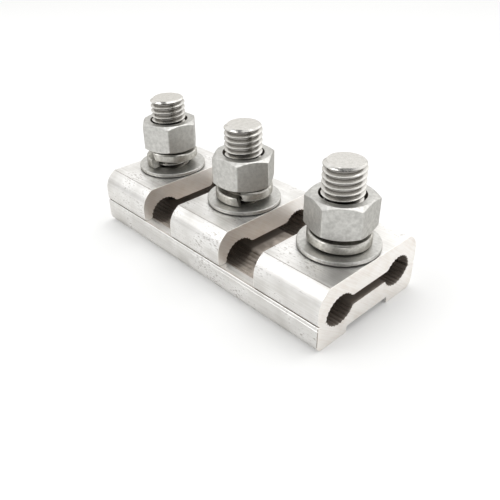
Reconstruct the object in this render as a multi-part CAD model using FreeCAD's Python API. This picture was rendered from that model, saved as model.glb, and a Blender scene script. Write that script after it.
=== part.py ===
import FreeCAD, Part
import math
import os

# Parallel groove clamp: an extruded lower body, and three saddles that bolts pull down on two conductors.
# Sizes are in millimetres. X runs along the clamp and its grooves, Y across it, and Z is up.
# The origin lies at the height of the feet, midway along the clamp, under the axis of the middle bolt.

# Bolts
bolt_count = 3
bolt_spacing = 39.0
thread_diameter = 12.0
thread_showing = 7.8
bolt_end_chamfer = 0.7
hole_clearance = 0.75

# Hexagons of heads and nuts: the wall from thread to flat, and the bevel that leaves a round end face
hexagon_wall = 3.0
hexagon_end_setback = 0.4
hexagon_bevel_angle = 30.0

# Bolt heads, held against turning by the walls of the channel under the body
head_side_clearance = 0.4
head_recess = 0.2

# Nuts
nut_height = 10.0
nut_countersink = 0.5
thread_running_clearance = 0.05
nut_corner_angles = (-39.2, -55.4, -81.1)

# Flat washers
flat_washer_diameter = 24.0
flat_washer_thickness = 1.5
flat_washer_clearance = 0.5

# Split spring washers, a left-hand turn of square wire, each pressed together by another amount
spring_washer_section = 3.1
spring_washer_clearance = 0.15
spring_washer_gap = 1.2
spring_washer_lean = 15.0
spring_washer_rises = (3.3, 2.0, 1.5)
spring_washer_split_angles = (-80.0, -48.0, 50.0)

# Lower body, an extruded profile whose middle web stays a little lower than its two lips
seam_height = 8.8
web_drop = 0.2
web_wall = 0.75
lower_groove_radius = 6.0
lower_groove_depth = 3.6
lower_mouth_radius = 1.0
lip_width = 3.6
lip_edge_radius = 0.5
foot_corner_radius = 2.5
channel_depth = 2.2
channel_corner_radius = 0.5

# Saddles, short lengths of a second extruded profile
saddle_length = 24.0
saddle_height = 10.7
bridge_thickness = 7.4
arch_radius = 5.8
arch_mouth_radius = 2.0
leg_thickness = 3.3
leg_edge_radius = 1.0
shoulder_width = 4.1
shoulder_drop = 2.5
shoulder_radius = 7.0

# Places and sizes that follow from those above
thread_radius = thread_diameter / 2
hole_radius = thread_radius + hole_clearance
across_flats = 2 * (thread_radius + hexagon_wall)
hexagon_corner_radius = across_flats / 2 / math.cos(math.radians(30))
hexagon_end_radius = across_flats / 2 - hexagon_end_setback
body_length = (bolt_count - 1) * bolt_spacing + saddle_length
lower_groove_reach = math.sqrt(lower_groove_radius ** 2 - (lower_groove_radius - lower_groove_depth) ** 2)
groove_offset = hole_radius + web_wall + lower_groove_reach
body_half_width = groove_offset + lower_groove_reach + lip_width
channel_half_width = across_flats / 2 + head_side_clearance
web_top = seam_height - web_drop
saddle_half_width = groove_offset + arch_radius + leg_thickness
saddle_top = seam_height + saddle_height
bridge_underside = saddle_top - bridge_thickness
flat_washer_top = saddle_top + flat_washer_thickness
nut_undersides = [flat_washer_top + spring_washer_section + rise for rise in spring_washer_rises]
bolt_top = max(nut_undersides) + nut_height + thread_showing
bolt_places = [(number - (bolt_count - 1) / 2) * bolt_spacing for number in range(bolt_count)]


def rounded_face(corners):
    """Flat face in the YZ plane from (y, z, radius) corners, where a radius rounds the corner."""
    points = [FreeCAD.Vector(0, y, z) for y, z, radius in corners]
    starts = []
    middles = []
    ends = []
    for index, corner in enumerate(corners):
        radius = corner[2]
        point = points[index]
        back = (points[index - 1] - point).normalize()
        ahead = (points[(index + 1) % len(points)] - point).normalize()
        half_angle = back.getAngle(ahead) / 2
        setback = radius / math.tan(half_angle)
        starts.append(point + back * setback)
        middles.append(point + (back + ahead).normalize() * (radius / math.sin(half_angle) - radius))
        ends.append(point + ahead * setback)
    edges = []
    for index, corner in enumerate(corners):
        edges.append(Part.LineSegment(ends[index - 1], starts[index]).toShape())
        if corner[2] > 0:
            edges.append(Part.Arc(starts[index], middles[index], ends[index]).toShape())
    return Part.Face(Part.Wire(edges))


def mirrored(right_half):
    """Whole outline from the corners of its right half, listed from the bottom upwards."""
    left_half = [(-y, z, radius) for y, z, radius in reversed(right_half)]
    return right_half + left_half


def disc(y, z, radius):
    """Round face in the YZ plane, the section of a groove."""
    circle = Part.Circle(FreeCAD.Vector(0, y, z), FreeCAD.Vector(1, 0, 0), radius)
    return Part.Face(Part.Wire(circle.toShape()))


def extruded(face, length):
    """Solid from a face in the YZ plane, with half its length on each side of that plane."""
    solid = face.extrude(FreeCAD.Vector(length, 0, 0))
    return solid.translated(FreeCAD.Vector(-length / 2, 0, 0))


def round_long_edges(solid, places, radius):
    """Rounds the edges along X that pass through the given (y, z) places."""
    chosen = []
    for edge in solid.Edges:
        ends = [vertex.Point for vertex in edge.Vertexes]
        for y, z in places:
            if len(ends) == 2 and all(math.hypot(end.y - y, end.z - z) < 0.001 for end in ends):
                chosen.append(edge)
    return solid.makeFillet(radius, chosen)


def both_sides(y, z):
    """The place (y, z) and its mirror image across the middle of the clamp."""
    return [(y, z), (-y, z)]


def turned(outline, x=0.0):
    """Solid of revolution about a vertical axis at x, from its (radius, z) outline."""
    points = [FreeCAD.Vector(radius, 0, z) for radius, z in outline]
    face = Part.Face(Part.makePolygon(points + points[:1]))
    solid = face.revolve(FreeCAD.Vector(0, 0, 0), FreeCAD.Vector(0, 0, 1), 360)
    return solid.translated(FreeCAD.Vector(x, 0, 0))


def hexagon_bar(bottom, top, corner_angle):
    """Upright hexagonal bar about the Z axis, with a corner at the given angle from X."""
    corner = FreeCAD.Vector(hexagon_corner_radius, 0, bottom)
    axis = FreeCAD.Vector(0, 0, 1)
    points = [FreeCAD.Rotation(axis, corner_angle + 60 * side).multVec(corner) for side in range(7)]
    return Part.Face(Part.makePolygon(points)).extrude(axis * (top - bottom))


def lower_body():
    """Extruded body with two grooves on top, a channel for the bolt heads below and the bolt holes."""
    right_half = [
        (channel_half_width, channel_depth, channel_corner_radius),
        (channel_half_width, 0.0, channel_corner_radius),
        (body_half_width, 0.0, foot_corner_radius),
        (body_half_width, seam_height, lip_edge_radius),
        (groove_offset, seam_height, 0.0),
        (groove_offset, web_top, 0.0),
    ]
    groove_centre = seam_height - lower_groove_depth + lower_groove_radius
    web_edge = groove_offset - math.sqrt(lower_groove_radius ** 2 - (groove_centre - web_top) ** 2)
    face = rounded_face(mirrored(right_half))
    face = face.cut(disc(groove_offset, groove_centre, lower_groove_radius))
    face = face.cut(disc(-groove_offset, groove_centre, lower_groove_radius))
    lip_edge = groove_offset + lower_groove_reach
    solid = extruded(face, body_length)
    solid = round_long_edges(solid, both_sides(web_edge, web_top), lower_mouth_radius)
    solid = round_long_edges(solid, both_sides(lip_edge, seam_height), lip_edge_radius)
    for x in bolt_places:
        solid = solid.cut(Part.makeCylinder(hole_radius, web_top, FreeCAD.Vector(x, 0, 0)))
    return solid


def saddle(x):
    """Extruded saddle with a flat crown, rounded shoulders, an arch over each groove and a bolt hole."""
    right_half = [
        (groove_offset, bridge_underside, 0.0),
        (groove_offset, seam_height, 0.0),
        (saddle_half_width, seam_height, leg_edge_radius),
        (saddle_half_width, saddle_top - shoulder_drop, shoulder_radius),
        (saddle_half_width - shoulder_width, saddle_top, 0.0),
    ]
    arch_edge = groove_offset - math.sqrt(arch_radius ** 2 - (bridge_underside - seam_height) ** 2)
    face = rounded_face(mirrored(right_half))
    face = face.cut(disc(groove_offset, seam_height, arch_radius))
    face = face.cut(disc(-groove_offset, seam_height, arch_radius))
    leg_edge = groove_offset + arch_radius
    solid = extruded(face, saddle_length)
    solid = round_long_edges(solid, both_sides(arch_edge, bridge_underside), arch_mouth_radius)
    solid = round_long_edges(solid, both_sides(leg_edge, seam_height), leg_edge_radius)
    solid = solid.cut(Part.makeCylinder(hole_radius, saddle_top))
    return solid.translated(FreeCAD.Vector(x, 0, 0))


def flat_washer(x):
    """Plain round washer on top of a saddle."""
    hole = thread_radius + flat_washer_clearance
    rim = flat_washer_diameter / 2
    top = flat_washer_top
    return turned([(hole, saddle_top), (rim, saddle_top), (rim, top), (hole, top)], x)


def spring_washer(x, rise, split_angle):
    """One left-hand turn of square wire with leaning ends, its lower end on the flat washer."""
    inner = thread_radius + spring_washer_clearance
    outer = inner + spring_washer_section
    middle = (inner + outer) / 2
    split_turn = math.degrees(spring_washer_gap / middle)
    pitch = rise * 360 / (360 - split_turn)
    path = Part.Wire(Part.makeLongHelix(pitch, rise, middle, 0, True))
    shift = spring_washer_section * math.tan(math.radians(spring_washer_lean))
    corners = [
        FreeCAD.Vector(inner, 0, 0),
        FreeCAD.Vector(outer, 0, 0),
        FreeCAD.Vector(outer, -shift, spring_washer_section),
        FreeCAD.Vector(inner, -shift, spring_washer_section),
    ]
    section = Part.makePolygon(corners + corners[:1])
    solid = path.makePipeShell([section], True, True)
    solid.rotate(FreeCAD.Vector(0, 0, 0), FreeCAD.Vector(0, 0, 1), split_angle - split_turn / 2)
    return solid.translated(FreeCAD.Vector(x, 0, flat_washer_top))


def nut(x, underside, corner_angle):
    """Hexagon nut, bevelled on both faces, with a countersunk bore that runs on the bolt."""
    bore = thread_radius + thread_running_clearance
    mouth = bore + nut_countersink
    edge = hexagon_end_radius
    reach = across_flats
    drop = (reach - edge) * math.tan(math.radians(hexagon_bevel_angle))
    top = underside + nut_height
    blank = turned([
        (mouth, underside),
        (edge, underside),
        (reach, underside + drop),
        (reach, top - drop),
        (edge, top),
        (mouth, top),
        (bore, top - nut_countersink),
        (bore, underside + nut_countersink),
    ])
    bar = hexagon_bar(underside, top, corner_angle)
    return bar.common(blank).translated(FreeCAD.Vector(x, 0, 0))


def bolt(x):
    """Bolt whose hexagon head lies in the channel, with its shank up through the body and the saddle."""
    edge = hexagon_end_radius
    reach = across_flats
    rise = (reach - edge) * math.tan(math.radians(hexagon_bevel_angle))
    bar = hexagon_bar(head_recess, channel_depth, 0.0)
    head = bar.common(turned([
        (0.0, head_recess),
        (edge, head_recess),
        (reach, head_recess + rise),
        (reach, channel_depth + rise),
        (0.0, channel_depth + rise),
    ]))
    shank = turned([
        (0.0, head_recess),
        (thread_radius, head_recess),
        (thread_radius, bolt_top - bolt_end_chamfer),
        (thread_radius - bolt_end_chamfer, bolt_top),
        (0.0, bolt_top),
    ])
    return head.fuse(shank).removeSplitter().translated(FreeCAD.Vector(x, 0, 0))


def save(name, shape):
    """Writes one piece to its own file, named after the piece."""
    shape.exportStep(f"parts/{name}.step")


os.makedirs("parts", exist_ok=True)
save("lower_body", lower_body())
for index, x in enumerate(bolt_places):
    number = index + 1
    rise = spring_washer_rises[index]
    save(f"saddle_{number}", saddle(x))
    save(f"bolt_{number}", bolt(x))
    save(f"flat_washer_{number}", flat_washer(x))
    save(f"spring_washer_{number}", spring_washer(x, rise, spring_washer_split_angles[index]))
    save(f"nut_{number}", nut(x, nut_undersides[index], nut_corner_angles[index]))
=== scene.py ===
"""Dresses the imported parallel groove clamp: an extruded body and three bolted saddles, in a pale studio."""

import logging
import math
from collections.abc import Callable
from dataclasses import dataclass
from enum import Enum
from functools import partial

import bmesh
import bpy
from mathutils import Matrix, Vector


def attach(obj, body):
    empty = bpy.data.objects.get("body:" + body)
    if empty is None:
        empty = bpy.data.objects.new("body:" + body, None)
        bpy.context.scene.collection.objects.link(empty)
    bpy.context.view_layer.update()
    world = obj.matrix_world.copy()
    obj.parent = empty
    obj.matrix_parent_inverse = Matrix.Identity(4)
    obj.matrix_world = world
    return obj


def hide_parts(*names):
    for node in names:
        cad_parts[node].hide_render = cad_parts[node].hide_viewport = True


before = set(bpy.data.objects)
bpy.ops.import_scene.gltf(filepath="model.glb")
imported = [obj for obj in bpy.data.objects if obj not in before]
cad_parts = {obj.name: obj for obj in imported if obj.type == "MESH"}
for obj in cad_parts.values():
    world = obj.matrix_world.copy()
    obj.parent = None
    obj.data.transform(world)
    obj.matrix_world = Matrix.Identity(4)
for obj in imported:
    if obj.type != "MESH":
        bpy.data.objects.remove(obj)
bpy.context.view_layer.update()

log = logging.getLogger("groove_clamp")

# Sizes are written in millimetres, and meshes are made in metres.
MM = 0.001

# Points that should coincide may lie this far apart, in millimetres.
HAIR = 0.001

# Faces round a bolt hole, a shank and a thread.
ROUND_FACES = 96

# White of the light and of the paper's glow.
WHITE = "#ffffff"

# Attribute that says how much painted shade a point of the mesh gets, from 0 to 1: how deep in a thread's
# valley it lies, and a little on the bolt's bevel and end.
VALLEY_SHADE = "valley"

Point = tuple[float, float]
Triple = tuple[float, float, float]
Material = bpy.types.Material
Mesh = bmesh.types.BMesh
Node = bpy.types.Node
Piece = bpy.types.Object
Socket = bpy.types.NodeSocket
NodeMaker = Callable[..., Node]
Column = Callable[[float], list[Point]]


class Slot(Enum):
    """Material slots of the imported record."""

    ALUMINIUM = "aluminium"
    GALVANISED = "galvanised_steel"
    SPRING = "spring_steel"
    BOLT = "bolt_steel"


class Surface(Enum):
    """How a face of an aluminium piece was made, which is also its place among the piece's materials. The
    GROOVE finish also paints shade along the seams and in the notch at a saddle's crown, and darkens the
    body's outer end edges.
    """

    DIE = 0
    SAW = 1
    GROOVE = 2


def linear(colour: str) -> tuple[float, float, float, float]:
    """Turns an sRGB hex colour into linear red, green, blue and alpha.

    Args:
        colour: A colour such as "#c8c6c2".

    Returns:
        The four linear values.
    """
    channels = []
    for start in (1, 3, 5):
        value = int(colour[start:start + 2], 16) / 255
        channels.append(value / 12.92 if value <= 0.04045 else ((value + 0.055) / 1.055) ** 2.4)
    return channels[0], channels[1], channels[2], 1.0


def add_node(tree: bpy.types.NodeTree, kind: str, inputs: dict | None = None, **settings: object) -> Node:
    """Adds one node to a tree, with its settings, its values and its links.

    Args:
        tree: The tree that gets the node.
        kind: The node's type.
        inputs: Input name or number to a value, to the output socket that feeds it, or to a node whose
            first output feeds it.
        settings: The node's own properties.

    Returns:
        The new node.
    """
    made = tree.nodes.new(kind)
    for key, value in settings.items():
        setattr(made, key, value)
    for key, value in (inputs or {}).items():
        if isinstance(value, Node):
            value = value.outputs[0]
        if isinstance(value, Socket):
            tree.links.new(value, made.inputs[key])
        else:
            made.inputs[key].default_value = value
    return made


def new_material(name: str) -> tuple[Material, NodeMaker, Socket]:
    """Starts a material with an empty node tree.

    Args:
        name: The material's name.

    Returns:
        The material, what adds a node to its tree, and the socket of Object coordinates.
    """
    material = bpy.data.materials.new(name)
    material.use_nodes = True
    material.node_tree.nodes.clear()
    add = partial(add_node, material.node_tree)
    return material, add, add("ShaderNodeTexCoord").outputs["Object"]


def pattern_scale(size: float) -> float:
    """Scale of a pattern whose real size is given in millimetres."""
    return 1 / (size * MM)


# Finishes


@dataclass(frozen=True)
class MillFinishAluminium:
    """Aluminium as it leaves the extrusion die, with nothing done to it."""

    # To the eye it is pale and satin, with faint lines along the bar, soft clouds and a few drawn-out specks.
    # Real die lines are about 0.1 mm apart, and are drawn coarser here so that they show.
    name: str = "extruded_aluminium_mill_finish"
    pale: str = "#f1f0ee"
    dull: str = "#d6d4d0"
    speck: str = "#b9b5b0"
    grazing: str = "#d2d0cc"
    roughness: Point = (0.37, 0.48)
    tone_range: Point = (0.55, 0.9)
    gloss_range: Point = (0.3, 0.7)
    line_spacing: float = 0.45
    line_length: float = 45.0
    line_depth: float = 0.02
    line_weight: float = 0.5
    cloud_size: float = 9.0
    speck_width: float = 0.45
    speck_length: float = 1.125
    speck_clouding: float = 0.9
    speck_level: float = 1.06
    speck_softness: float = 0.2

    def material(self) -> Material:
        """Makes the material.

        Returns:
            The material.
        """
        material, add, place = new_material(self.name)
        across = pattern_scale(self.line_spacing)
        drawn = add("ShaderNodeMapping", {
            "Vector": place, "Scale": (pattern_scale(self.line_length), across, across)})
        lines = add("ShaderNodeTexNoise", {"Vector": drawn, "Scale": 1.0, "Detail": 3.0})
        clouds = add("ShaderNodeTexNoise", {
            "Vector": place, "Scale": pattern_scale(self.cloud_size), "Detail": 4.0})
        mixed = add("ShaderNodeMath", {0: lines, 1: self.line_weight, 2: clouds}, operation="MULTIPLY_ADD")
        shade = add("ShaderNodeMapRange", {
            "Value": mixed, "From Min": self.tone_range[0], "From Max": self.tone_range[1]})
        tone = add("ShaderNodeMix", {
            "Factor": shade, 6: linear(self.dull), 7: linear(self.pale)}, data_type="RGBA")
        across = pattern_scale(self.speck_width)
        drawn = add("ShaderNodeMapping", {
            "Vector": place, "Scale": (pattern_scale(self.speck_length), across, across)})
        grain = add("ShaderNodeTexNoise", {"Vector": drawn, "Scale": 1.0, "Detail": 2.0})
        stain_and_shade = add("ShaderNodeMath", {0: clouds, 1: self.speck_clouding, 2: grain}, operation="MULTIPLY_ADD")
        spot = add("ShaderNodeMapRange", {
            "Value": stain_and_shade, "From Min": self.speck_level, "From Max": self.speck_level + self.speck_softness})
        colour = add("ShaderNodeMix", {
            "Factor": spot, 6: tone.outputs[2], 7: linear(self.speck)}, data_type="RGBA")
        gloss = add("ShaderNodeMapRange", {
            "Value": lines, "From Min": self.gloss_range[0], "From Max": self.gloss_range[1],
            "To Min": self.roughness[0], "To Max": self.roughness[1]})
        relief = add("ShaderNodeBump", {"Strength": 0.25, "Distance": self.line_depth * MM, "Height": lines})
        shader = add("ShaderNodeBsdfPrincipled", {
            "Base Color": colour.outputs[2], "Metallic": 1.0, "Specular Tint": linear(self.grazing),
            "Roughness": gloss, "Normal": relief})
        add("ShaderNodeOutputMaterial", {"Surface": shader})
        return material


@dataclass(frozen=True)
class SawnAluminium:
    """Aluminium cut to length by a circular saw."""

    # To the eye it is a little paler and warmer than the die's surface, with fine slanting marks.
    name: str = "sawn_aluminium"
    pale: str = "#f8f5f1"
    dull: str = "#ede7e0"
    tone_range: Point = (0.65, 1.15)
    roughness: float = 0.45
    mark_spacing: float = 0.32
    mark_length: float = 9.0
    mark_angle: float = 38.0
    mark_depth: float = 0.012
    cloud_size: float = 5.0

    def material(self) -> Material:
        """Makes the material.

        Returns:
            The material.
        """
        material, add, place = new_material(self.name)
        turned = add("ShaderNodeMapping", {
            "Vector": place, "Rotation": (math.radians(self.mark_angle), 0.0, 0.0)})
        along = pattern_scale(self.mark_length)
        drawn = add("ShaderNodeMapping", {
            "Vector": turned, "Scale": (along, along, pattern_scale(self.mark_spacing))})
        marks = add("ShaderNodeTexNoise", {"Vector": drawn, "Scale": 1.0, "Detail": 2.0})
        clouds = add("ShaderNodeTexNoise", {
            "Vector": place, "Scale": pattern_scale(self.cloud_size), "Detail": 3.0})
        mixed = add("ShaderNodeMath", {0: marks, 1: clouds}, operation="ADD")
        tone = add("ShaderNodeMapRange", {
            "Value": mixed, "From Min": self.tone_range[0], "From Max": self.tone_range[1]})
        colour = add("ShaderNodeMix", {
            "Factor": tone, 6: linear(self.dull), 7: linear(self.pale)}, data_type="RGBA")
        relief = add("ShaderNodeBump", {"Strength": 0.3, "Distance": self.mark_depth * MM, "Height": marks})
        shader = add("ShaderNodeBsdfPrincipled", {
            "Base Color": colour.outputs[2], "Metallic": 1.0, "Roughness": self.roughness, "Normal": relief})
        add("ShaderNodeOutputMaterial", {"Surface": shader})
        return material


@dataclass(frozen=True)
class GrooveAluminium:
    """Ridged groove walls under the paste that keeps air from the joint, with painted shade under the
    saddles.
    """

    # To the eye it is dull and brownish grey in patches, and darker still under the saddles, where shade is
    # painted in.
    saddle_spacing: float
    saddle_half: float
    name: str = "ridged_groove_aluminium_and_painted_shade"
    light: str = "#d0c6bc"
    dark: str = "#9c9288"
    under_saddle_shade: str = "#8c8279"
    tone_range: Point = (0.35, 0.65)
    metallic: float = 0.35
    roughness: float = 0.6
    patch_size: float = 3.0
    saddle_shade_fade: float = 1.0

    def material(self) -> Material:
        """Makes the material.

        Returns:
            The material.
        """
        material, add, place = new_material(self.name)
        patches = add("ShaderNodeTexNoise", {
            "Vector": place, "Scale": pattern_scale(self.patch_size), "Detail": 5.0})
        tone = add("ShaderNodeMapRange", {
            "Value": patches, "From Min": self.tone_range[0], "From Max": self.tone_range[1]})
        colour = add("ShaderNodeMix", {
            "Factor": tone, 6: linear(self.dark), 7: linear(self.light)}, data_type="RGBA")
        # Painted shade: the colour darkens under the saddles and fades out over the last millimetre of each.
        half = self.saddle_spacing / 2 * MM
        from_saddle = add("ShaderNodeMath", {
            0: add("ShaderNodeSeparateXYZ", {0: place}), 1: -half, 2: half}, operation="WRAP")
        away = add("ShaderNodeMath", {0: from_saddle}, operation="ABSOLUTE")
        saddle_shade_mask = add("ShaderNodeMapRange", {
            "Value": away, "From Min": self.saddle_half * MM,
            "From Max": (self.saddle_half - self.saddle_shade_fade) * MM})
        saddle_shaded = add("ShaderNodeMix", {
            "Factor": saddle_shade_mask, 6: colour.outputs[2], 7: linear(self.under_saddle_shade)}, data_type="RGBA")
        shader = add("ShaderNodeBsdfPrincipled", {
            "Base Color": saddle_shaded.outputs[2], "Metallic": self.metallic, "Roughness": self.roughness})
        add("ShaderNodeOutputMaterial", {"Surface": shader})
        return material


@dataclass(frozen=True)
class GalvanisedSteel:
    """Steel under a coat of zinc, with painted shade in the valleys of a thread."""

    # To the eye it is light grey and matt, mottled where the zinc set, with a fine grain.
    name: str = "galvanised_steel"
    light: str = "#d0cfcb"
    dark: str = "#bcbbb7"
    roughness: Point = (0.36, 0.48)
    mottle_range: Point = (0.35, 0.65)
    mottle_size: float = 1.1
    grain_size: float = 0.25
    grain_depth: float = 0.012
    valley: str = "#8e8b87"
    grazing: str = "#bdbbb7"

    def material(self) -> Material:
        """Makes the material.

        Returns:
            The material.
        """
        material, add, place = new_material(self.name)
        mottle = add("ShaderNodeTexNoise", {
            "Vector": place, "Scale": pattern_scale(self.mottle_size), "Detail": 4.0, "Roughness": 0.6})
        grain = add("ShaderNodeTexNoise", {
            "Vector": place, "Scale": pattern_scale(self.grain_size), "Detail": 2.0})
        least, most = self.mottle_range
        tone = add("ShaderNodeMapRange", {"Value": mottle, "From Min": least, "From Max": most})
        colour = add("ShaderNodeMix", {
            "Factor": tone, 6: linear(self.dark), 7: linear(self.light)}, data_type="RGBA")
        valley = add("ShaderNodeAttribute", attribute_name=VALLEY_SHADE)
        shaded = add("ShaderNodeMix", {
            "Factor": valley.outputs["Fac"], 6: colour.outputs[2], 7: linear(self.valley)}, data_type="RGBA")
        gloss = add("ShaderNodeMapRange", {
            "Value": mottle, "From Min": least, "From Max": most,
            "To Min": self.roughness[1], "To Max": self.roughness[0]})
        relief = add("ShaderNodeBump", {"Strength": 0.4, "Distance": self.grain_depth * MM, "Height": grain})
        shader = add("ShaderNodeBsdfPrincipled", {
            "Base Color": shaded.outputs[2], "Metallic": 1.0, "Specular Tint": linear(self.grazing),
            "Roughness": gloss, "Normal": relief})
        add("ShaderNodeOutputMaterial", {"Surface": shader})
        return material


# Mesh helpers


def around(centre: Point, radius: float, angle: float) -> Point:
    """Point at a distance and an angle in degrees from a centre."""
    turn = math.radians(angle)
    return centre[0] + radius * math.cos(turn), centre[1] + radius * math.sin(turn)


def arc(centre: Point, radius: float, start: float, turn: float, step: float) -> list[Point]:
    """Points along an arc, both ends included.

    Args:
        centre: The arc's centre.
        radius: Its radius.
        start: The angle of its first point, in degrees.
        turn: How far it goes, in degrees, anticlockwise if positive.
        step: The most degrees between two points.

    Returns:
        The points in order.
    """
    count = max(1, math.ceil(abs(turn) / step))
    return [around(centre, radius, start + turn * number / count) for number in range(count + 1)]


def shorter_turn(start: float, end: float) -> float:
    """The turn in degrees from one angle to another by the shorter way."""
    return (end - start + 180) % 360 - 180


def corner(before: Point, point: Point, after: Point, radius: float) -> list[Point]:
    """Points of the tangent arc that rounds a corner.

    Args:
        before: A point on the line that comes in.
        point: The sharp corner.
        after: A point on the line that goes out.
        radius: The arc's radius.

    Returns:
        The arc's points in order.
    """
    here = Vector(point)
    back = (Vector(before) - here).normalized()
    ahead = (Vector(after) - here).normalized()
    half = back.angle(ahead) / 2
    centre = here + (back + ahead).normalized() * (radius / math.sin(half))
    ends = [here + way * (radius / math.tan(half)) - centre for way in (back, ahead)]
    start, end = (math.degrees(math.atan2(away.y, away.x)) for away in ends)
    return arc(tuple(centre), radius, start, shorter_turn(start, end), step=10.0)


@dataclass(frozen=True)
class Groove:
    """Round groove along the clamp, cut into the flat faces beside it."""

    centre: Point
    radius: float
    opens_up: bool
    ridge_pitch: float = 1.3
    ridge_crest: float = 0.35
    notch_depth: float = 0.3

    def mouth(self, level: float, rounding: float, side: int) -> tuple[Point, float, float]:
        """Arc that rounds the edge between the groove and a flat face.

        Args:
            level: Height of the flat face.
            rounding: Radius of the arc.
            side: 1 for the edge further from the middle of the clamp, -1 for the nearer.

        Returns:
            The arc's centre, its angle at the flat face, and its turn from there to the groove.
        """
        upward = -1 if self.opens_up else 1
        z = level + upward * rounding
        y = self.centre[0] + side * math.sqrt((self.radius + rounding) ** 2 - (z - self.centre[1]) ** 2)
        on_groove = math.degrees(math.atan2(self.centre[1] - z, self.centre[0] - y))
        on_face = -90.0 * upward
        return (y, z), on_face, shorter_turn(on_face, on_groove)

    def wall(self, start: Point, end: Point) -> list[Point]:
        """Ridged wall between the centres of the two arcs at its mouth.

        Args:
            start: Centre of the arc where the wall begins.
            end: Centre of the arc where it ends.

        Returns:
            The wall's points, with a V-shaped notch between every two ridges.
        """
        arms = [Vector(point) - Vector(self.centre) for point in (start, end)]
        first, last = (math.degrees(math.atan2(arm.y, arm.x)) for arm in arms)
        turn = (last - first) % 360
        if self.opens_up:
            turn -= 360
        count = round(math.radians(abs(turn)) * self.radius / self.ridge_pitch)
        notch = (1 + self.ridge_crest) / 2
        points = []
        for number in range(count):
            for share, depth in ((0.0, 0.0), (self.ridge_crest, 0.0), (notch, self.notch_depth)):
                angle = first + turn * (number + share) / count
                points.append(around(self.centre, self.radius + depth, angle))
        return points + [around(self.centre, self.radius, last)]


class Section:
    """Outline of an extruded bar in the YZ plane, drawn as its right half from the bottom to the top."""

    def __init__(self, underside: Surface = Surface.DIE, top: Surface = Surface.DIE) -> None:
        """Starts an empty outline.

        Args:
            underside: How the face was made that crosses the middle below.
            top: How the face was made that crosses the middle above.
        """
        self.points: list[Point] = []
        self.surfaces: list[Surface] = []
        self.underside = underside
        self.top = top

    def add(self, points: list[Point], surface: Surface = Surface.DIE) -> None:
        """Adds points, without the first one where it repeats the last point so far.

        Args:
            points: The points in order.
            surface: How the faces between them were made.
        """
        for number, point in enumerate(points):
            if self.points and math.dist(point, self.points[-1]) < HAIR:
                continue
            self.points.append(point)
            self.surfaces.append(surface if number else Surface.DIE)

    def add_seam_edge(self, points: list[Point], stain_and_shade: int, seam_first: bool) -> None:
        """Adds the rounded edge beside the seam, with painted shade on its faces next to the seam.

        Args:
            points: The edge's points.
            stain_and_shade: How many of its faces, from the seam on, get the darker groove finish as painted
                shade.
            seam_first: Whether the seam is at its first point, not at its last.
        """
        split = stain_and_shade if seam_first else len(points) - 1 - stain_and_shade
        before, after = (Surface.GROOVE, Surface.DIE) if seam_first else (Surface.DIE, Surface.GROOVE)
        self.add(points[:split + 1], before)
        self.add(points[split:], after)

    def add_mouth(self, mouth: tuple[Point, float, float], rounding: float, inwards: bool) -> None:
        """Adds the arc at a groove's mouth.

        Args:
            mouth: The arc as Groove.mouth gives it.
            rounding: Its radius.
            inwards: Whether it goes from the face to the groove, not the other way.
        """
        centre, start, turn = mouth
        points = arc(centre, rounding, start, turn, step=12.0)
        self.add(points if inwards else points[::-1], Surface.GROOVE)

    def whole(self) -> tuple[list[Point], list[Surface]]:
        """Both halves of the outline.

        Returns:
            The points, and for each point how the face that ends at it was made.
        """
        left = [(-y, z) for y, z in reversed(self.points)]
        right_surfaces = self.surfaces[1:]
        return self.points + left, [self.underside] + right_surfaces + [self.top] + right_surfaces[::-1]


def inset(points: list[Point], distance: float, least_share: float = 0.6) -> list[Point]:
    """Moves a closed anticlockwise outline inwards.

    Args:
        points: The outline.
        distance: How far each side moves.
        least_share: A sharp corner moves no further than the distance divided by this.

    Returns:
        The moved outline, point for point.
    """
    moved = []
    for index, point in enumerate(points):
        here = Vector(point)
        into = (here - Vector(points[index - 1])).normalized()
        out = (Vector(points[(index + 1) % len(points)]) - here).normalized()
        normal = Vector((-into.y - out.y, into.x + out.x)).normalized()
        share = max(least_share, normal.dot(Vector((-into.y, into.x))))
        moved.append(tuple(here + normal * (distance / share)))
    return moved


def extruded(section: Section, length: float, edge: float, dark_edge_from: float) -> Mesh:
    """Bar along X from a section, with a small rounding round each sawn end.

    Args:
        section: The section in millimetres.
        length: The bar's length in millimetres.
        edge: The size of the rounding in millimetres.
        dark_edge_from: Distance from the middle, across the bar, beyond which the rounding takes the darker
            groove finish.

    Returns:
        The bar, with the number of its surface as each face's material.
    """
    points, surfaces = section.whole()
    mesh = bmesh.new()
    # The middle of a rounding lies about 0.3 of its radius in from the sharp corner, both ways.
    bulge = 0.3 * edge
    end = [(length / 2, edge), (length / 2 - bulge, bulge), (length / 2 - edge, 0.0)]
    rings = [(-x, inward) for x, inward in end] + end[::-1]
    bar = len(end) - 1
    loops = []
    for x, inward in rings:
        outline = inset(points, inward) if inward else points
        loops.append([mesh.verts.new((x * MM, y * MM, z * MM)) for y, z in outline])
    count = len(points)
    for number, (lower, upper) in enumerate(zip(loops, loops[1:])):
        for index in range(count):
            face = mesh.faces.new((lower[index - 1], lower[index], upper[index], upper[index - 1]))
            # Rounding faces beyond that distance take the darker groove finish, which draws a dark line along
            # the end's outer edges.
            outer = min(abs(points[index - 1][0]), abs(points[index][0])) > dark_edge_from
            rim = Surface.GROOVE if outer else Surface.SAW
            face.material_index = surfaces[index].value if number == bar else rim.value
    for loop in (loops[0], loops[-1]):
        mesh.faces.new(loop).material_index = Surface.SAW.value
    bmesh.ops.recalc_face_normals(mesh, faces=mesh.faces)
    return mesh


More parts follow.
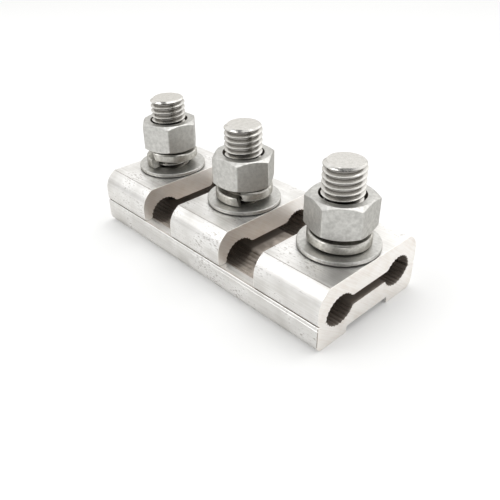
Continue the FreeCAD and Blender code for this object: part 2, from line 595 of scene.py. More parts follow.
def revolved(column: Column, angles: list[float], closed: bool, x: float) -> Mesh:
    """Mesh round an upright axis, whose section may differ from angle to angle.

    Args:
        column: Gives the (radius, z) points in millimetres at an angle in radians.
        angles: The angles in order round the whole turn.
        closed: Whether the last point of a column joins its first, as on a ring.
        x: Place of the axis in millimetres.

    Returns:
        The mesh, with its poles closed.
    """
    mesh = bmesh.new()
    columns = []
    for angle in angles:
        columns.append([
            mesh.verts.new(((x + radius * math.cos(angle)) * MM, radius * math.sin(angle) * MM, z * MM))
            for radius, z in column(angle)
        ])
    for before, after in zip(columns, columns[1:] + columns[:1]):
        first = 0 if closed else 1
        for index in range(first, len(before)):
            mesh.faces.new((before[index - 1], after[index - 1], after[index], before[index]))
    bmesh.ops.remove_doubles(mesh, verts=mesh.verts, dist=1e-7)
    bmesh.ops.recalc_face_normals(mesh, faces=mesh.faces)
    return mesh


def whole_turn(count: int) -> list[float]:
    """Evenly spread angles round a turn, in radians."""
    return [2 * math.pi * number / count for number in range(count)]


def object_of(name: str, mesh: Mesh, *materials: Material) -> Piece:
    """Puts a mesh into the scene as an object, and frees the mesh.

    Args:
        name: The object's name.
        mesh: Its mesh.
        materials: Its materials.

    Returns:
        The object.
    """
    data = bpy.data.meshes.new(name)
    for material in materials:
        data.materials.append(material)
    mesh.to_mesh(data)
    mesh.free()
    made = bpy.data.objects.new(name, data)
    bpy.context.scene.collection.objects.link(made)
    return made


def settled(piece: Piece) -> None:
    """Turns a piece's modifiers into plain mesh.

    Args:
        piece: The object.
    """
    evaluated = piece.evaluated_get(bpy.context.evaluated_depsgraph_get())
    data = bpy.data.meshes.new_from_object(evaluated)
    piece.modifiers.clear()
    piece.data = data


def smooth(piece: Piece, angle: float) -> None:
    """Shades a piece smoothly up to an angle in degrees, and keeps its flat faces flat.

    Args:
        piece: The object.
        angle: Edges that turn by more stay sharp.
    """
    data = piece.data
    data.polygons.foreach_set("use_smooth", [True] * len(data.polygons))
    data.set_sharp_from_angle(angle=math.radians(angle))
    weighted = piece.modifiers.new("weighted", "WEIGHTED_NORMAL")
    weighted.keep_sharp = True
    settled(piece)


def join(name: str, parts: list[Piece], *materials: Material) -> Piece:
    """Makes one object of several, and takes the parts away.

    Args:
        name: The new object's name.
        parts: Objects with plain meshes at the origin.
        materials: The new object's materials.

    Returns:
        The joined object.
    """
    mesh = bmesh.new()
    for part in parts:
        mesh.from_mesh(part.data)
        bpy.data.objects.remove(part)
    return object_of(name, mesh, *materials)


def cylinder(name: str, radius: float, span: Point, x: float) -> Piece:
    """Plain cylinder on an upright axis.

    Args:
        name: The object's name.
        radius: Its radius in millimetres.
        span: Heights of its lower and upper ends.
        x: Place of its axis.

    Returns:
        The object.
    """
    low, high = span
    profile = [(0.0, low), (radius, low), (radius, high), (0.0, high)]
    return object_of(name, revolved(lambda angle: profile, whole_turn(ROUND_FACES), False, x))


def dress(piece: Piece, crease: float, body: str, slot: Slot) -> None:
    """Smooths a finished piece, gives it its body, and hides the node that it stands for.

    Args:
        piece: The object, named after the node that it stands for with "_piece" at the end.
        crease: Edges that turn by more degrees stay sharp.
        body: The body that it rides on.
        slot: The record's material slot; not used.
    """
    smooth(piece, crease)
    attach(piece, body)
    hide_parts(piece.name.removesuffix("_piece"))
    log.info("%s: %d faces, rides on %s", piece.name, len(piece.data.polygons), body)


# Pieces of the clamp


@dataclass(frozen=True)
class Layout:
    """Sizes in millimetres that several pieces share, as the solids have them."""

    bolt_places: Triple = (-39.0, 0.0, 39.0)
    saddle_length: float = 24.0
    thread_radius: float = 6.0
    hole_radius: float = 6.75
    across_flats: float = 18.0
    hexagon_end_radius: float = 8.6
    hexagon_bevel_angle: float = 30.0
    seam_height: float = 8.8
    web_wall: float = 0.75
    groove_radius: float = 6.0
    groove_depth: float = 3.6
    saddle_height: float = 10.7
    flat_washer_thickness: float = 1.5
    spring_washer_section: float = 3.1
    spring_washer_rises: Triple = (3.3, 2.0, 1.5)
    nut_height: float = 10.0
    thread_showing: float = 7.8

    @property
    def body_length(self) -> float:
        """Length of the lower body."""
        return self.bolt_places[-1] - self.bolt_places[0] + self.saddle_length

    @property
    def groove_reach(self) -> float:
        """Half the width of a groove at the seam."""
        return math.sqrt(self.groove_radius ** 2 - (self.groove_radius - self.groove_depth) ** 2)

    @property
    def groove_offset(self) -> float:
        """Distance of a groove's middle from the middle of the clamp."""
        return self.hole_radius + self.web_wall + self.groove_reach

    @property
    def saddle_top(self) -> float:
        """Height of the flat crowns."""
        return self.seam_height + self.saddle_height

    @property
    def flat_washer_top(self) -> float:
        """Height of the flat washers' upper faces."""
        return self.saddle_top + self.flat_washer_thickness

    def place(self, number: int) -> float:
        """Place along X of a bolt and what it holds, counted from 1 at the end towards -X."""
        return self.bolt_places[number - 1]

    def nut_underside(self, number: int) -> float:
        """Height of a nut's lower face, counted in the same way."""
        return self.flat_washer_top + self.spring_washer_section + self.spring_washer_rises[number - 1]

    @property
    def bolt_top(self) -> float:
        """Height of the bolts' end faces."""
        return self.nut_underside(1) + self.nut_height + self.thread_showing


@dataclass
class Extrusion:
    """What the two aluminium extrusions have in common."""

    layout: Layout
    mill: Material
    sawn: Material
    groove: Material
    sawn_edge: float = 0.16
    drill_span: Point = (-5.0, 60.0)
    crease: float = 26.0

    def bored(self, name: str, bar: Mesh, places: tuple[float, ...]) -> Piece:
        """Bar with a bolt hole at each place.

        Args:
            name: The object's name.
            bar: The bar's mesh.
            places: Places of the holes along X, in millimetres.

        Returns:
            The object, with its holes in its mesh.
        """
        piece = object_of(name, bar, self.mill, self.sawn, self.groove)
        radius = self.layout.hole_radius
        drill = join("drills", [cylinder("drill", radius, self.drill_span, x) for x in places])
        cut = piece.modifiers.new("holes", "BOOLEAN")
        cut.operation = "DIFFERENCE"
        cut.solver = "EXACT"
        cut.object = drill
        settled(piece)
        bpy.data.objects.remove(drill)
        return piece


@dataclass
class LowerBody(Extrusion):
    """Extruded body with two ridged grooves on top and a channel for the bolt heads below."""

    web_drop: float = 0.2
    mouth_radius: float = 1.0
    lip_width: float = 3.6
    lip_edge_radius: float = 0.5
    foot_corner_radius: float = 2.5
    channel_half_width: float = 9.4
    channel_depth: float = 2.2
    channel_corner_radius: float = 0.5
    bead_drop: float = 1.2
    bead: float = 0.1
    dark_side_edge_from: float = 22.0

    def section(self) -> Section:
        """Draws the body's outline.

        Returns:
            The outline's right half.
        """
        layout = self.layout
        seam = layout.seam_height
        wide = layout.groove_offset + layout.groove_reach + self.lip_width
        inner = self.channel_half_width
        roof = self.channel_depth
        small = self.channel_corner_radius
        centre = (layout.groove_offset, seam - layout.groove_depth + layout.groove_radius)
        groove = Groove(centre, layout.groove_radius, True)
        outer = groove.mouth(seam, self.lip_edge_radius, 1)
        near = groove.mouth(seam - self.web_drop, self.mouth_radius, -1)
        drawn = Section(top=Surface.GROOVE)
        bead = seam - self.bead_drop
        drawn.add(corner((0.0, roof), (inner, roof), (inner, 0.0), small))
        drawn.add(corner((inner, roof), (inner, 0.0), (wide, 0.0), small))
        drawn.add(corner((inner, 0.0), (wide, 0.0), (wide, seam), self.foot_corner_radius))
        drawn.add([(wide, bead - self.bead), (wide - self.bead, bead), (wide, bead + self.bead)])
        lip = corner((wide, 0.0), (wide, seam), (0.0, seam), self.lip_edge_radius)
        # The faces next to the seam take painted shade.
        drawn.add_seam_edge(lip, stain_and_shade=3, seam_first=False)
        drawn.add_mouth(outer, self.lip_edge_radius, True)
        drawn.add(groove.wall(outer[0], near[0]), Surface.GROOVE)
        drawn.add_mouth(near, self.mouth_radius, False)
        return drawn

    def build(self) -> None:
        """Makes the body and dresses it."""
        bar = extruded(self.section(), self.layout.body_length, self.sawn_edge, self.dark_side_edge_from)
        piece = self.bored("lower_body_piece", bar, self.layout.bolt_places)
        dress(piece, self.crease, "lower_body", Slot.ALUMINIUM)


@dataclass
class Saddle(Extrusion):
    """Short extruded saddle over both grooves, with a flat crown, rounded shoulders and two ridged arches."""

    bridge_thickness: float = 7.4
    arch_radius: float = 5.8
    mouth_radius: float = 2.0
    leg_thickness: float = 3.3
    leg_edge_radius: float = 1.0
    shoulder_width: float = 4.1
    shoulder_drop: float = 2.5
    shoulder_radius: float = 7.0
    kink: float = 0.09
    kink_rise: float = 0.6

    def section(self) -> Section:
        """Draws the saddle's outline.

        Returns:
            The outline's right half.
        """
        seam = self.layout.seam_height
        top = self.layout.saddle_top
        wide = self.layout.groove_offset + self.arch_radius + self.leg_thickness
        crown = wide - self.shoulder_width
        shoulder = top - self.shoulder_drop
        arch = Groove((self.layout.groove_offset, seam), self.arch_radius, False)
        outer = arch.mouth(seam, self.leg_edge_radius, 1)
        near = arch.mouth(top - self.bridge_thickness, self.mouth_radius, -1)
        drawn = Section(underside=Surface.GROOVE)
        drawn.add_mouth(near, self.mouth_radius, True)
        drawn.add(arch.wall(outer[0], near[0])[::-1], Surface.GROOVE)
        drawn.add_mouth(outer, self.leg_edge_radius, False)
        leg = corner((0.0, seam), (wide, seam), (wide, shoulder), self.leg_edge_radius)
        # The faces next to the seam take painted shade.
        drawn.add_seam_edge(leg, stain_and_shade=3, seam_first=True)
        drawn.add(corner((wide, seam), (wide, shoulder), (crown, top), self.shoulder_radius))
        drawn.add([(crown + self.kink, top - self.kink * self.kink_rise), (crown, top - self.kink)])
        # One face of the notch at the kink takes the darker groove finish, as painted shade in the notch.
        drawn.add([(crown, top - self.kink), (crown - self.kink, top)], Surface.GROOVE)
        return drawn

    def build(self, number: int) -> None:
        """Makes one saddle and dresses it.

        Args:
            number: 1 for the saddle furthest along -X.
        """
        x = self.layout.place(number)
        bar = extruded(self.section(), self.layout.saddle_length, self.sawn_edge, math.inf)
        bmesh.ops.translate(bar, verts=bar.verts, vec=(x * MM, 0.0, 0.0))
        piece = self.bored(f"saddle_{number}_piece", bar, (x,))
        dress(piece, self.crease, f"saddle_{number}", Slot.ALUMINIUM)


@dataclass
class BoltedPiece:
    """Piece round one of the three bolts, or the bolt itself, numbered from 1 at the end towards -X."""

    layout: Layout
    number: int

    @property
    def x(self) -> float:
        """Place of the bolt along X."""
        return self.layout.place(self.number)


@dataclass
class Hexagon:
    """Outside of a nut or a head: six flats with rounded corners, bevelled to a round end face."""

    layout: Layout
    corner_angle: float
    corner_radius: float = 0.7
    corner_faces: int = 5
    flat_faces: int = 8
    # The edge's size, and how far in, over and down its rounding lies as shares of that.
    edge: float = 0.16
    edge_in: float = 0.22
    edge_over: float = 0.1
    edge_down: float = 0.7

    @property
    def flat(self) -> float:
        """Distance from the axis to a flat."""
        return self.layout.across_flats / 2

    @property
    def corner_reach(self) -> float:
        """Distance from the axis to the centre of a corner's rounding."""
        return (self.flat - self.corner_radius) / math.cos(math.pi / 6)

    @property
    def corner_turn(self) -> float:
        """Half the angle that a corner's rounding takes, in radians."""
        return math.pi / 6 - math.atan(self.corner_reach * math.sin(math.pi / 6) / self.flat)

    def angles(self) -> list[float]:
        """Spreads angles round the whole turn, closer together at the corners.

        Returns:
            The angles in radians, in order.
        """
        rim = self.corner_turn
        steps = [rim * (2 * face / self.corner_faces - 1) for face in range(self.corner_faces + 1)]
        between = math.pi / 3 - 2 * rim
        steps += [rim + between * face / self.flat_faces for face in range(1, self.flat_faces)]
        start = math.radians(self.corner_angle)
        return [start + side * math.pi / 3 + step for side in range(6) for step in steps]

    def wall(self, angle: float) -> float:
        """Measures from the axis to the wall.

        Args:
            angle: The angle in radians.

        Returns:
            The distance in millimetres.
        """
        from_corner = (angle - math.radians(self.corner_angle) + math.pi / 6) % (math.pi / 3) - math.pi / 6
        if abs(from_corner) < self.corner_turn:
            side = self.corner_reach * math.sin(from_corner)
            return self.corner_reach * math.cos(from_corner) + math.sqrt(self.corner_radius ** 2 - side ** 2)
        return self.flat / math.cos(math.pi / 6 - abs(from_corner))

    def bevelled(self, angle: float, level: float, upwards: bool) -> list[Point]:
        """Points from the round end face over the bevel to the wall.

        Args:
            angle: The angle in radians.
            level: Height of the end face.
            upwards: True where the wall rises from this face.

        Returns:
            The points from the face to the wall.
        """
        up = 1 if upwards else -1
        slope = math.tan(math.radians(self.layout.hexagon_bevel_angle))
        wall = self.wall(angle)
        end = self.layout.hexagon_end_radius
        turn = level + up * (wall - end) * slope
        return [
            (end - self.edge / 2, level),
            (end + self.edge / 2, level + up * self.edge / 2 * slope),
            (wall - self.edge, turn - up * self.edge * slope),
            (wall - self.edge * self.edge_in, turn - up * self.edge * self.edge_over),
            (wall, turn + up * self.edge * self.edge_down),
        ]


@dataclass
class HexNut(BoltedPiece):
    """Hexagon nut, bevelled on both faces, with a countersunk mouth at each end of its bore."""

    zinc: Material
    bare_steel_and_shade: Material
    corner_angles: Triple = (-39.2, -55.4, -81.1)
    bore_clearance: float = 0.05
    countersink: float = 0.6
    crease: float = 28.0

    def build(self) -> None:
        """Makes the nut and dresses it."""
        underside = self.layout.nut_underside(self.number)
        top = underside + self.layout.nut_height
        bore = self.layout.thread_radius + self.bore_clearance
        mouth = bore + self.countersink
        hexagon = Hexagon(self.layout, self.corner_angles[self.number - 1])

        def column(angle: float) -> list[Point]:
            """Closed section of the nut.

            Args:
                angle: The angle in radians.

            Returns:
                Its points, as radius and height.
            """
            lower = [(bore, underside + self.countersink), (mouth, underside)]
            upper = [(bore, top - self.countersink), (mouth, top)]
            rising = hexagon.bevelled(angle, underside, True)
            return lower + rising + hexagon.bevelled(angle, top, False)[::-1] + upper[::-1]

        mesh = revolved(column, hexagon.angles(), True, self.x)
        # The bore and its countersinks take the dark bare steel, whose darkness is partly painted shade in
        # the bore.
        for face in mesh.faces:
            reach = max(math.hypot(vertex.co.x - self.x * MM, vertex.co.y) for vertex in face.verts)
            face.material_index = int(reach < (mouth + HAIR) * MM)
        piece = object_of(f"nut_{self.number}_piece", mesh, self.zinc, self.bare_steel_and_shade)
        dress(piece, self.crease, f"nut_{self.number}", Slot.GALVANISED)


@dataclass
class FlatWasher(BoltedPiece):
    """Punched round washer with softened rims, and painted shade on its underside and the lower part of its
    rims.
    """

    zinc: Material
    rim_shade: Material
    radius: float = 12.0
    hole_clearance: float = 0.5
    lower_rim: float = 0.6
    upper_rim: float = 0.25
    rim_shade_share: float = 0.7
    segments: int = 128
    crease: float = 35.0

    def build(self) -> None:
        """Makes the washer and dresses it."""
        low = self.layout.saddle_top
        high = self.layout.flat_washer_top
        hole = self.layout.thread_radius + self.hole_clearance
        under = self.lower_rim
        over = self.upper_rim
        section = arc((self.radius - under, low + under), under, -90, 90, step=22.5)
        section += arc((self.radius - over, high - over), over, 0, 90, step=30.0)
        section += arc((hole + over, high - over), over, 90, 90, step=30.0)
        section += arc((hole + over, low + over), over, 180, 90, step=30.0)
        ring = revolved(lambda angle: section, whole_turn(self.segments), True, self.x)
        # Painted shade: faces below this height, the underside and the lower part of both rims, take the dark
        # bare steel.
        rim_shade_below = (low + under * self.rim_shade_share) * MM
        for face in ring.faces:
            face.material_index = int(max(vertex.co.z for vertex in face.verts) < rim_shade_below)
        piece = object_of(f"flat_washer_{self.number}_piece", ring, self.zinc, self.rim_shade)
        dress(piece, self.crease, f"saddle_{self.number}", Slot.GALVANISED)


class WrappedGrid:
    """Grid that geometry nodes wrap round an upright axis, as a thread or a ring, and leave as plain mesh."""

    # A grid runs from -0.5 to 0.5 both ways, and only its outermost rows and columns lie beyond this.
    BORDER = 0.4999

    def __init__(self, name: str, material: Material, sizes: dict[str, float]) -> None:
        """Starts the tree with its inputs and its grid.

        Args:
            name: The tree's name.
            material: The material that the tree sets.
            sizes: Name to value of each input. "Columns" and "Rows" count the grid's vertices, and "Place"
                and "Bottom" set the foot of the axis in millimetres.
        """
        self.material = material
        self.tree = bpy.data.node_groups.new(name, "GeometryNodeTree")
        self.values: dict[str, float] = {}
        for label, value in sizes.items():
            kind = "NodeSocketInt" if isinstance(value, int) else "NodeSocketFloat"
            socket = self.tree.interface.new_socket(label, in_out="INPUT", socket_type=kind)
            self.values[socket.identifier] = value
        self.tree.interface.new_socket("Geometry", in_out="OUTPUT", socket_type="NodeSocketGeometry")
        self.add = partial(add_node, self.tree)
        self.size = self.add("NodeGroupInput").outputs
        self.grid = self.add("GeometryNodeMeshGrid", {
            "Size X": 1.0, "Size Y": 1.0,
            "Vertices X": self.size["Columns"], "Vertices Y": self.size["Rows"]})
        place = self.add("ShaderNodeSeparateXYZ", {0: self.add("GeometryNodeInputPosition")}).outputs
        self.x = place["X"]
        self.y = place["Y"]

    def inside(self, way: Socket) -> Node:
        """Tells the grid's inside from its border, which closes the shape's ends.

        Args:
            way: The grid's X or Y.

        Returns:
            The node that gives 0 on the outermost vertices that way, and 1 between them.
        """
        from_middle = self.add("ShaderNodeMath", {0: way}, operation="ABSOLUTE")
        return self.add("ShaderNodeMath", {0: from_middle, 1: self.BORDER}, operation="LESS_THAN")

    def wrap(self, name: str, grid: Node, radius: Node, height: Node, angle: Node) -> Piece:
        """Moves the grid's vertices round the axis, ends the tree, runs it and keeps its result.

        Args:
            name: Name of the object that gets the mesh.
            grid: The node that gives the grid.
            radius: Gives each vertex its distance from the axis, in millimetres.
            height: Gives its height above the foot, in millimetres.
            angle: Gives its angle, in radians.

        Returns:
            The object with its plain mesh.
        """
        add = self.add
        arm = add("ShaderNodeCombineXYZ", {"X": radius, "Z": height})
        turned = add("ShaderNodeVectorRotate", {"Vector": arm, "Angle": angle}, rotation_type="Z_AXIS")
        foot = add("ShaderNodeCombineXYZ", {"X": self.size["Place"], "Z": self.size["Bottom"]})
        stood = add("ShaderNodeVectorMath", {0: turned, 1: foot}, operation="ADD")
        spot = add("ShaderNodeVectorMath", {0: stood, "Scale": MM}, operation="SCALE")
        moved = add("GeometryNodeSetPosition", {"Geometry": grid, "Position": spot})
        merged = add("GeometryNodeMergeByDistance", {"Geometry": moved, "Distance": HAIR * MM})
        real = add("GeometryNodeRealizeInstances", {"Geometry": merged})
        dressed = add("GeometryNodeSetMaterial", {"Geometry": real, "Material": self.material})
        add("NodeGroupOutput", {0: dressed})
        made = object_of(name, bmesh.new())
        modifier = made.modifiers.new("shape", "NODES")
        modifier.node_group = self.tree
        for identifier, value in self.values.items():
            modifier[identifier] = value
        settled(made)
        return made


@dataclass
class ThreadedBolt(BoltedPiece):
    """Bolt with a low hexagon head, a plain shank and a rolled thread that is bevelled at its end."""

    steel: Material
    pitch: float = 1.75
    thread_depth: float = 1.0
    thread_length: float = 30.0
    crest_share: float = 0.07
    root_share: float = 0.4
    end_chamfer: float = 0.7
    end_shade: float = 0.06
    head_recess: float = 0.2
    head_top: float = 2.2
    segments: int = ROUND_FACES
    rows_per_turn: int = 12
    crease: float = 32.0

    def thread(self) -> Piece:
        """Makes the threaded end, as a grid whose rows climb with the thread.

        Returns:
            The object with its mesh.
        """
        length = self.thread_length
        turns = math.ceil(length / self.pitch) + 2
        grid = WrappedGrid("rolled_thread", self.steel, {
            "Place": self.x, "Bottom": self.layout.bolt_top - length, "Length": length,
            "Radius": self.layout.thread_radius, "Pitch": self.pitch, "Depth": self.thread_depth,
            "Runout": 2 * self.pitch, "Bevel start": length - self.end_chamfer,
            "End radius": self.layout.thread_radius - self.end_chamfer, "Turns": float(turns),
            "Columns": self.segments + 1, "Rows": turns * self.rows_per_turn + 1,
        })
        add = grid.add
        size = grid.size
        # How far round the axis and how high up it a vertex stands.
        turn = add("ShaderNodeMath", {0: grid.x, 1: 0.5}, operation="ADD")
        angle = add("ShaderNodeMath", {0: turn, 1: 2 * math.pi}, operation="MULTIPLY")
        row = add("ShaderNodeMath", {0: grid.y, 1: 0.5}, operation="ADD")
        climb = add("ShaderNodeMath", {0: turn, 1: size["Pitch"]}, operation="MULTIPLY")
        turns_up = add("ShaderNodeMath", {0: row, 1: size["Turns"], 2: -1.0}, operation="MULTIPLY_ADD")
        rise = add("ShaderNodeMath", {0: turns_up, 1: size["Pitch"], 2: climb}, operation="MULTIPLY_ADD")
        above = add("ShaderNodeClamp", {"Value": rise, "Max": size["Length"]})
        # How deep the thread is cut there.
        beyond = add("ShaderNodeMath", {0: above, 1: climb}, operation="SUBTRACT")
        phase = add("ShaderNodeMath", {0: beyond, 1: size["Pitch"]}, operation="DIVIDE")
        share = add("ShaderNodeMath", {0: phase, 1: 0.5}, operation="PINGPONG")
        flank = add("ShaderNodeMapRange", {
            "Value": share, "From Min": self.crest_share, "From Max": self.root_share})
        runout = add("ShaderNodeMapRange", {"Value": above, "From Max": size["Runout"]})
        deep = add("ShaderNodeMath", {0: flank, 1: runout}, operation="MULTIPLY")
        cut = add("ShaderNodeMath", {0: deep, 1: size["Depth"]}, operation="MULTIPLY")
        wall = add("ShaderNodeMath", {0: size["Radius"], 1: cut}, operation="SUBTRACT")
        # The bevel and the closed ends.
        cone = add("ShaderNodeMapRange", {
            "Value": above, "From Min": size["Length"], "From Max": size["Bevel start"],
            "To Min": size["End radius"], "To Max": size["Radius"]})
        outer = add("ShaderNodeMath", {0: wall, 1: cone}, operation="MINIMUM")
        radius = add("ShaderNodeMath", {0: outer, 1: grid.inside(grid.y)}, operation="MULTIPLY")
        # Painted shade: deep in the valleys, and a little over the bevel and the end face.
        below_bevel = add("ShaderNodeMath", {0: above, 1: size["Bevel start"]}, operation="LESS_THAN")
        valley = add("ShaderNodeMix", {"Factor": below_bevel, 2: self.end_shade, 3: deep})
        marked = add("GeometryNodeStoreNamedAttribute", {
            "Geometry": grid.grid, "Name": VALLEY_SHADE, "Value": valley})
        return grid.wrap("thread", marked, radius, above, angle)

    def build(self) -> None:
        """Makes the bolt and dresses it."""
        hexagon = Hexagon(self.layout, 0.0)
        low = self.head_recess
        high = self.head_top
        shank_top = self.layout.bolt_top - self.thread_length

        def head(angle: float) -> list[Point]:
            """Section of the head at an angle, from its lower face to its upper face."""
            upper = [(hexagon.wall(angle), high), (0.0, high)]
            return [(0.0, low)] + hexagon.bevelled(angle, low, True) + upper

        parts = [
            self.thread(),
            object_of("head", revolved(head, hexagon.angles(), False, self.x)),
            cylinder("shank", self.layout.thread_radius, (high, shank_top), self.x),
        ]
        piece = join(f"bolt_{self.number}_piece", parts, self.steel)
        dress(piece, self.crease, "lower_body", Slot.BOLT)


@dataclass
class SpringWasher(BoltedPiece):
    """Split spring washer: one left-hand turn of square wire with rounded edges and leaning ends."""

    steel: Material
    clearance: float = 0.15
    gap: float = 1.2
    lean: float = 15.0
    split_angles: Triple = (-80.0, -48.0, 50.0)
    edge_share: float = 1.22
    steps: int = 110
    section_points: int = 48
    crease: float = 40.0

    def build(self) -> None:
        """Makes the washer and dresses it."""
        half = self.layout.spring_washer_section / 2
        middle = self.layout.thread_radius + self.clearance + half
        open_turn = self.gap / middle
        grid = WrappedGrid("split_washer", self.steel, {
            "Place": self.x, "Bottom": self.layout.flat_washer_top, "Middle": middle,
            "Half": half, "Rise": self.layout.spring_washer_rises[self.number - 1],
            "Start": math.radians(self.split_angles[self.number - 1]) - open_turn / 2,
            "Turn": open_turn - 2 * math.pi, "Lean": -math.tan(math.radians(self.lean)) / middle,
            "Edge": self.edge_share, "Columns": self.steps + 3, "Rows": self.section_points + 1,
        })
        add = grid.add
        size = grid.size
        # Columns go along the wire. The outermost ones shrink to a point, which closes its ends.
        end = 0.5 - 1 / (self.steps + 2)
        path = add("ShaderNodeMapRange", {"Value": grid.x, "From Min": -end, "From Max": end})
        reach = add("ShaderNodeMath", {0: grid.inside(grid.x), 1: size["Half"]}, operation="MULTIPLY")
        # Rows go round the wire, on a circle that is cut off at four sides.
        around_wire = add("ShaderNodeMath", {0: grid.y, 1: 2 * math.pi}, operation="MULTIPLY")
        sides = []
        for operation in ("COSINE", "SINE"):
            wave = add("ShaderNodeMath", {0: around_wire}, operation=operation)
            wide = add("ShaderNodeMath", {0: wave, 1: size["Edge"]}, operation="MULTIPLY")
            flat = add("ShaderNodeClamp", {"Value": wide, "Min": -1.0, "Max": 1.0})
            sides.append(add("ShaderNodeMath", {0: flat, 1: reach}, operation="MULTIPLY"))
        radius = add("ShaderNodeMath", {0: size["Middle"], 1: sides[0]}, operation="ADD")
        above = add("ShaderNodeMath", {0: size["Half"], 1: sides[1]}, operation="ADD")
        height = add("ShaderNodeMath", {0: size["Rise"], 1: path, 2: above}, operation="MULTIPLY_ADD")
        swing = add("ShaderNodeMath", {0: size["Turn"], 1: path, 2: size["Start"]}, operation="MULTIPLY_ADD")
        angle = add("ShaderNodeMath", {0: above, 1: size["Lean"], 2: swing}, operation="MULTIPLY_ADD")
        piece = grid.wrap(f"spring_washer_{self.number}_piece", grid.grid, radius, height, angle)
        dress(piece, self.crease, f"saddle_{self.number}", Slot.SPRING)


# Studio


@dataclass(frozen=True)
class Lamp:
    """Soft square lamp that faces the clamp, with its place and size in metres and its power in watts."""

    name: str
    place: Triple
    size: float
    power: float


@dataclass(frozen=True)
class Region:
    """Part of the room with more or less light: its direction, the cosine at its edge and the added light."""

    towards: Triple
    edge: float
    light: float


@dataclass
class Studio:
    """Pale floor, soft lamps and a pale room."""

    lamps: tuple[Lamp, ...] = (
        Lamp("key_left", (-0.35, -0.75, 0.75), 0.6, 3.6),
        Lamp("top_soft", (0.05, 0.15, 0.9), 0.7, 2.8),
    )
    room_light: float = 0.16
    regions: tuple[Region, ...] = (
        Region((0.97, -0.25, 0.15), 0.2, -0.1),
        Region((-0.65, -0.75, 0.15), 0.4, 0.62),
        Region((-0.65, 0.57, 0.5), 0.3, 1.13),
        Region((0.6, 0.75, 0.3), 0.35, 1.15),
    )
    floor_colour: str = "#e6e6e5"
    floor_seen: float = 0.12
    floor_in_metal: float = 0.11
    floor_size: float = 8.0
    aim: Triple = (0.0, 0.0, 0.02)

    def floor(self) -> None:
        """Makes the floor, which looks white, is pale in the metal, and takes the clamp's shadow."""
        material, add, _ = new_material("white_paper_sweep")
        rays = add("ShaderNodeLightPath").outputs
        seen = add("ShaderNodeMath", {0: rays["Is Camera Ray"], 1: self.floor_seen}, operation="MULTIPLY")
        glow = add("ShaderNodeMath", {
            0: rays["Is Glossy Ray"], 1: self.floor_in_metal, 2: seen}, operation="MULTIPLY_ADD")
        paper = add("ShaderNodeBsdfPrincipled", {
            "Base Color": linear(self.floor_colour), "Roughness": 0.9, "Specular IOR Level": 0.0,
            "Emission Color": linear(WHITE), "Emission Strength": glow})
        add("ShaderNodeOutputMaterial", {"Surface": paper})
        mesh = bmesh.new()
        bmesh.ops.create_grid(mesh, x_segments=1, y_segments=1, size=self.floor_size / 2)
        object_of("studio_floor", mesh, material)

    def room(self) -> None:
        """Makes the room: white to the eye, and for the metal brighter or dimmer by region."""
        world = bpy.data.worlds.new("pale_room")
        bpy.context.scene.world = world
        world.use_nodes = True
        world.node_tree.nodes.clear()
        add = partial(add_node, world.node_tree)
        ways = add("ShaderNodeTexCoord").outputs["Generated"]
        total = add("ShaderNodeValue")
        total.outputs[0].default_value = self.room_light
        for region in self.regions:
            facing = add("ShaderNodeVectorMath", {
                0: ways, 1: Vector(region.towards).normalized()}, operation="DOT_PRODUCT")
            share = add("ShaderNodeMapRange", {
                "Value": facing.outputs["Value"], "From Min": region.edge, "From Max": 1.0,
                "To Max": region.light}, interpolation_type="SMOOTHSTEP")
            total = add("ShaderNodeMath", {0: total, 1: share}, operation="ADD")
        total = add("ShaderNodeMath", {0: total, 1: 0.0}, operation="MAXIMUM")
        rays = add("ShaderNodeLightPath").outputs
        strength = add("ShaderNodeMix", {"Factor": rays["Is Camera Ray"], 2: total, 3: 1.0})
        light = add("ShaderNodeBackground", {"Color": linear(WHITE), "Strength": strength})
        add("ShaderNodeOutputWorld", {"Surface": light})

    def build(self) -> None:
        """Makes floor, room and lamps."""
        self.floor()
        self.room()
        for lamp in self.lamps:
            data = bpy.data.lights.new(lamp.name, "AREA")
            data.size = lamp.size
            data.energy = lamp.power
            made = bpy.data.objects.new(lamp.name, data)
            made.location = lamp.place
            ray = Vector(self.aim) - made.location
            made.rotation_euler = ray.to_track_quat("-Z", "Y").to_euler()
            bpy.context.scene.collection.objects.link(made)
        log.info("studio: floor, room and %d lamps", len(self.lamps))


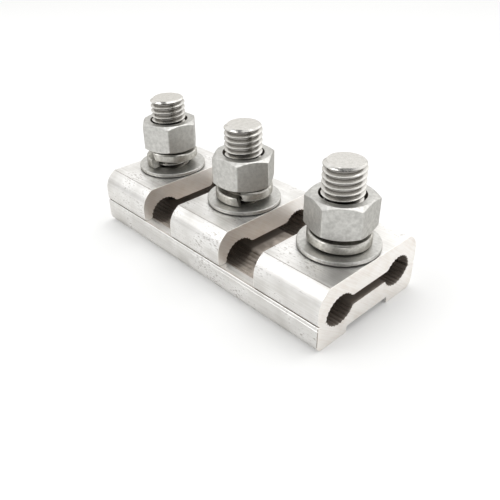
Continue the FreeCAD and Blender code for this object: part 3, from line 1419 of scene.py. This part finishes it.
@dataclass
class PhotoCamera:
    """Camera at the photograph's place, in the clamp's frame."""

    azimuth: float = 48.656
    elevation: float = 31.232
    roll: float = -1.669
    focal_pixels: float = 550.883
    centre_pixels: Point = (233.395, 235.501)
    frame_pixels: float = 500.0
    place: Triple = (118.348, -109.371, 103.193)

    def build(self) -> None:
        """Makes the camera and looks through it."""
        turn = math.radians(self.azimuth)
        tilt = math.radians(self.elevation)
        lean = math.radians(self.roll)
        back = Vector((math.sin(turn) * math.cos(tilt), -math.cos(turn) * math.cos(tilt), math.sin(tilt)))
        right = Vector((math.cos(turn), math.sin(turn), 0.0))
        up = back.cross(right)
        leaned_right = math.cos(lean) * right + math.sin(lean) * up
        leaned_up = math.cos(lean) * up - math.sin(lean) * right
        data = bpy.data.cameras.new("photo_camera")
        data.sensor_width = 36.0
        data.lens = self.focal_pixels * data.sensor_width / self.frame_pixels
        data.shift_x = (self.frame_pixels / 2 - self.centre_pixels[0]) / self.frame_pixels
        data.shift_y = (self.centre_pixels[1] - self.frame_pixels / 2) / self.frame_pixels
        data.clip_start = 0.01
        data.clip_end = 50.0
        made = bpy.data.objects.new("photo_camera", data)
        columns = Matrix((leaned_right, leaned_up, back)).transposed().to_4x4()
        made.matrix_world = Matrix.Translation(Vector(self.place) * MM) @ columns
        bpy.context.scene.collection.objects.link(made)
        bpy.context.scene.camera = made


def main() -> None:
    """Builds the clamp, the studio and the camera."""
    logging.basicConfig(level=logging.INFO, format="%(name)s %(message)s")
    layout = Layout()
    mill = MillFinishAluminium().material()
    sawn = SawnAluminium().material()
    groove = GrooveAluminium(layout.place(2) - layout.place(1), layout.saddle_length / 2).material()
    zinc = GalvanisedSteel().material()
    # The spring washers' zinc is a little darker and more mottled. The rolled threads are smooth and shine.
    spring = GalvanisedSteel("galvanised_spring_steel", "#cbc9c3", "#aaa8a1", (0.32, 0.46)).material()
    thread = GalvanisedSteel(
        "galvanised_rolled_thread", "#dbd9d5", "#d0cec9", (0.2, 0.26), grain_depth=0.002, grazing="#dad8d4"
    ).material()
    # The nuts are tapped after their zinc coat, so their bores are bare steel. Its very dark colour is partly
    # painted shade in the bores, and it also paints the shade under the flat washers.
    bare_steel_and_shade = GalvanisedSteel("bare_steel_and_painted_shade", "#4a4641", "#34312d", (0.4, 0.5)).material()
    LowerBody(layout, mill, sawn, groove).build()
    for number in range(1, len(layout.bolt_places) + 1):
        Saddle(layout, mill, sawn, groove).build(number)
        ThreadedBolt(layout, number, thread).build()
        FlatWasher(layout, number, zinc, bare_steel_and_shade).build()
        SpringWasher(layout, number, spring).build()
        HexNut(layout, number, zinc, bare_steel_and_shade).build()
    Studio().build()
    PhotoCamera().build()
    bpy.context.scene.view_settings.view_transform = "Standard"


if __name__ == "__main__":
    main()
